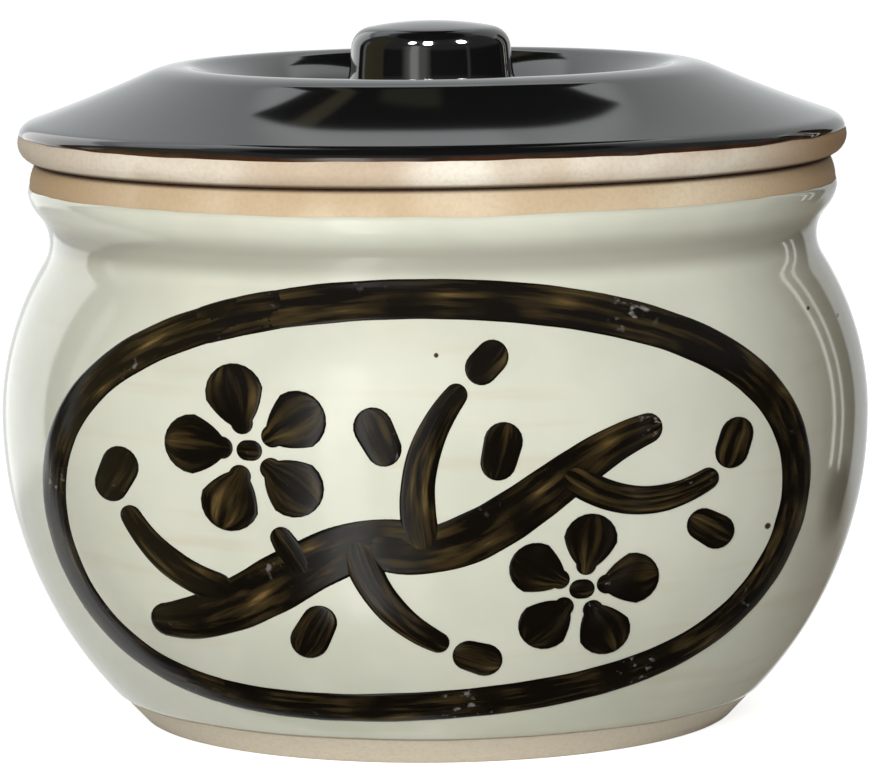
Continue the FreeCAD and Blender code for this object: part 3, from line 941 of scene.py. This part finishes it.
def bare_clay(name, tones, heights, toasted, left_share):
    """Clay whose tone goes from one to another between two heights, toasting in patches and at
    its left side, with painted shade at its right side.
    """
    material, tree, shader, where = finish(name, Roughness=0.75, IOR=1.45)
    spread = put(tree, "ShaderNodeSeparateXYZ", {0: where}).outputs
    height = spread["Z"]
    clay = mixed(tree, fade(tree, height, heights[0] * MM, heights[1] * MM), *tones)
    flashed = fade(tree, patches(tree, where, 30), 0.42, 0.72, 0.0, 0.6)
    left = fade(tree, spread["X"], LEFT_SIDE[0] * MM, LEFT_SIDE[1] * MM, left_share, 0.0)
    # Painted shade: the clay darkens towards its right side
    right = fade(tree, spread["X"], RIGHT_SIDE[0] * MM, RIGHT_SIDE[1] * MM, 0.0, 0.95)
    flashed = calc(tree, "MAXIMUM", flashed, calc(tree, "MAXIMUM", left, right))
    above_foot = fade(tree, height, NO_TOAST_BELOW[0] * MM, NO_TOAST_BELOW[1] * MM)
    clay = mixed(tree, calc(tree, "MULTIPLY", flashed, above_foot), clay, toasted)
    # Painted shadow: the clay darkens along the seam between rim and lid
    off_seam = calc(tree, "ABSOLUTE", calc(tree, "SUBTRACT", height, SEAT_HEIGHT * MM))
    seam = fade(tree, off_seam, SEAM_REACH[0] * MM, SEAM_REACH[1] * MM, 0.93, 0.0)
    flat = put(tree, "ShaderNodeVectorMath", {0: where, 1: (1, 1, 0)}, operation="MULTIPLY")
    flat = put(tree, "ShaderNodeVectorMath", {0: flat.outputs[0]}, operation="LENGTH")
    outside = fade(tree, flat.outputs["Value"], SEAM_RADII[0] * MM, SEAM_RADII[1] * MM)
    seam = calc(tree, "MULTIPLY", seam, outside)
    clay = mixed(tree, seam, clay, SCORCHED_CLAY)
    grain = patches(tree, where, 0.9, 4.0)
    dark = fade(tree, grain, 0.3, 0.6, 0.12, 0.0)
    clay = mixed(tree, dark, clay, CLAY_GRAIN)
    rings = patches(tree, where, 3, 2.0, (12, 12, 0.25))
    height = calc(tree, "MULTIPLY_ADD", rings, 0.6, grain)
    relief(tree, shader, height, 0.1)
    colour(tree, shader, clay)
    return material


def iron_brushwork():
    material, tree, shader, _ = finish("iron_brushwork", Roughness=0.15, IOR=1.33)
    along, across, body, stroke = [
        noted(tree, name) for name in ("along", "across", "body", "stroke")
    ]
    inputs = {"X": along, "Y": calc(tree, "MULTIPLY", across, 3.0), "Z": stroke}
    flow = put(tree, "ShaderNodeCombineXYZ", inputs).outputs[0]
    flow = put(tree, "ShaderNodeVectorMath", {0: flow, 3: MM}, operation="SCALE").outputs[0]
    streaks = patches(tree, flow, 1.2, 3.0, (12, 1, 1))
    pools = patches(tree, flow, 9, 2.0, (1.6, 1, 1), (0.3, 0, 0))
    brown = fade(tree, streaks, 0.42, 0.68)
    brown = calc(tree, "MULTIPLY", brown, fade(tree, pools, 0.35, 0.6))
    ink = mixed(tree, brown, INK, BROWN_INK)
    ochre = calc(tree, "MULTIPLY", fade(tree, streaks, 0.6, 0.75), fade(tree, pools, 0.5, 0.65))
    ink = mixed(tree, ochre, ink, OCHRE_INK)
    flecks = fade(tree, patches(tree, flow, 1.3, 4.0, (1.5, 1, 1)), 0.58, 0.72)
    dry = fade(tree, patches(tree, flow, 16, 1.0, shift=(0.7, 0, 0)), 0.55, 0.65)
    ink = mixed(tree, calc(tree, "MULTIPLY", flecks, dry), ink, DRY_INK)
    pooled = fade(tree, body, 0.35, 0.7, 0.85, 0.0)
    ink = mixed(tree, pooled, ink, POOLED_INK)
    colour(tree, shader, ink)
    relief(tree, shader, streaks, 0.05)
    return material


CREAM = cream_glaze()
BLACK = black_glaze()
JAR_CLAY = bare_clay("jar_clay", JAR_TONES, JAR_TONE_HEIGHTS, JAR_TOAST, JAR_LEFT_SHARE)
LID_CLAY = bare_clay("lid_clay", LID_TONES, LID_TONE_HEIGHTS, LID_TOAST, LID_LEFT_SHARE)
IRON = iron_brushwork()


def place(piece, body, slot, material, *nodes):
    """Give a piece its finish and seat it in the frame, for the nodes that it stands for."""
    piece.data.materials.clear()
    piece.data.materials.append(material)
    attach(piece, body)
    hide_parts(*nodes)
    return piece


pot = place(jar_clay(), "jar", "bare_clay", JAR_CLAY, "jar_body")
coat = place(outer_glaze(pot), "jar", "cream_glaze", CREAM, "outer_glaze")
place(lining_glaze(pot), "jar", "cream_glaze", CREAM, "lining_glaze")
place(oval_brushwork(coat), "jar", "iron_brushwork", IRON, "painted_oval")
place(branch_brushwork(coat), "jar", "iron_brushwork", IRON, "painted_branch")
place(blossom_brushwork(coat), "jar", "iron_brushwork", IRON, "painted_blossoms")
place(bud_brushwork(coat), "jar", "iron_brushwork", IRON, "painted_buds")
cover = place(lid_clay(), "lid", "bare_clay", LID_CLAY, "lid_body", "lid_knob")
place(lid_top_glaze(cover), "lid", "black_glaze", BLACK, "lid_top_glaze")
place(lid_underside_glaze(cover), "lid", "black_glaze", BLACK, "lid_underside_glaze")


def floor():
    """A wide pale floor that looks white, and keeps the jar's soft shadow."""
    bpy.ops.object.select_all(action="DESELECT")
    bpy.ops.mesh.primitive_circle_add(vertices=64, radius=FLOOR_RADIUS, fill_type="NGON")
    ground = bpy.context.active_object
    ground.name = "floor"
    material = bpy.data.materials.new("floor")
    material.use_nodes = True
    tree = material.node_tree
    tree.nodes.clear()
    rays = put(tree, "ShaderNodeLightPath")
    paint = put(tree, "ShaderNodeBsdfDiffuse", {"Color": FLOOR_PAINT})
    seen = calc(tree, "MULTIPLY", rays.outputs["Is Camera Ray"], FLOOR_GLOW)
    glow = put(tree, "ShaderNodeEmission", {"Strength": seen})
    both = put(tree, "ShaderNodeAddShader", {0: paint.outputs[0], 1: glow.outputs[0]})
    clear = put(tree, "ShaderNodeBsdfTransparent")
    inputs = {0: rays.outputs["Is Glossy Ray"], 1: both.outputs[0], 2: clear.outputs[0]}
    ground_seen = put(tree, "ShaderNodeMixShader", inputs)
    put(tree, "ShaderNodeOutputMaterial", {"Surface": ground_seen.outputs[0]})
    ground.data.materials.append(material)


def camera():
    data = bpy.data.cameras.new("camera")
    data.lens = CAMERA_LENS
    data.sensor_width = CAMERA_SENSOR
    view = bpy.data.objects.new("camera", data)
    bpy.context.scene.collection.objects.link(view)
    level = Matrix.Rotation(math.radians(90 - CAMERA_DOWN), 4, "X")
    roll = Matrix.Rotation(math.radians(CAMERA_ROLL), 4, "Z")
    view.matrix_world = Matrix.Translation(CAMERA_PLACE) @ level @ roll
    bpy.context.scene.camera = view


def softbox(name, place, aim, width, height, power, glossy=True, diffuse=True, spread=180):
    """A rectangular lamp that gloss or plain surfaces can be kept from."""
    data = bpy.data.lights.new(name, "AREA")
    data.shape = "RECTANGLE"
    data.size = width
    data.size_y = height
    data.energy = power
    data.spread = math.radians(spread)
    lamp = bpy.data.objects.new(name, data)
    bpy.context.scene.collection.objects.link(lamp)
    lamp.location = place
    lamp.rotation_euler = (Vector(aim) - Vector(place)).to_track_quat("-Z", "Y").to_euler()
    lamp.visible_camera = False
    lamp.visible_glossy = glossy
    lamp.visible_diffuse = diffuse


def between(tree, value, reach, soft):
    """One where a value is within its reach, going softly to nothing outside it."""
    low, high = reach
    over = fade(tree, value, low - soft / 2, low + soft / 2)
    under = fade(tree, value, high - soft / 2, high + soft / 2, 1.0, 0.0)
    return calc(tree, "MULTIPLY", over, under)


def lit(tree, seen, turn, rise, sides, heights, soft, light):
    """What is seen, with a soft-edged panel of light laid over it."""
    around = between(tree, turn, sides, soft)
    share = calc(tree, "MULTIPLY", around, between(tree, rise, heights, soft))
    return mixed(tree, share, seen, light)


def room(tree, way):
    """What gloss shows in each direction."""
    parts = put(tree, "ShaderNodeSeparateXYZ", {0: way}).outputs
    turn = calc(tree, "DEGREES", calc(tree, "ARCTAN2", parts["X"], parts["Y"]))
    rise = calc(tree, "DEGREES", calc(tree, "ARCSINE", parts["Z"]))
    seen = FRONT_OF_ROOM
    for panel in ROOM:
        seen = lit(tree, seen, turn, rise, *panel)
    across = calc(tree, "POWER", calc(tree, "DIVIDE", turn, BAY_SIDES[1]), 2)
    above = calc(tree, "MULTIPLY_ADD", across, BAY_SAG, rise)
    above = fade(tree, above, BAY_FOOT - BAY_EDGE, BAY_FOOT + BAY_EDGE)
    inside = calc(tree, "MULTIPLY", above, between(tree, turn, BAY_SIDES, BAY_EDGE))
    bay = BAY_DARK
    for gleam in BAY_GLEAMS:
        bay = lit(tree, bay, turn, rise, *gleam)
    return mixed(tree, inside, seen, bay)


def studio():
    """White to the camera, a soft glow from behind for the clay, and a room for gloss to show."""
    world = bpy.data.worlds.new("studio")
    bpy.context.scene.world = world
    world.use_nodes = True
    tree = world.node_tree
    rays = put(tree, "ShaderNodeLightPath")
    way = put(tree, "ShaderNodeTexCoord").outputs["Generated"]
    back = put(tree, "ShaderNodeVectorMath", {0: way, 1: BACK_GLOW_WAY}, operation="DOT_PRODUCT")
    glow = fade(tree, back.outputs["Value"], *BACK_GLOW_REACH)
    soft = mixed(tree, glow, AMBIENT, BACK_GLOW)
    soft = mixed(tree, rays.outputs["Is Glossy Ray"], soft, room(tree, way))
    seen = mixed(tree, rays.outputs["Is Camera Ray"], soft, (1, 1, 1))
    tree.links.new(seen, tree.nodes["Background"].inputs["Color"])


floor()
camera()
studio()
softbox("key", KEY_PLACE, KEY_AIM, KEY_SIZE, KEY_SIZE, KEY_POWER, glossy=False)
for spot, *shape in KNOB_GLINTS:
    softbox("glint", spot, KNOB_SHOULDER, *shape, diffuse=False, spread=GLINT_SPREAD)
bpy.context.scene.view_settings.view_transform = "Standard"
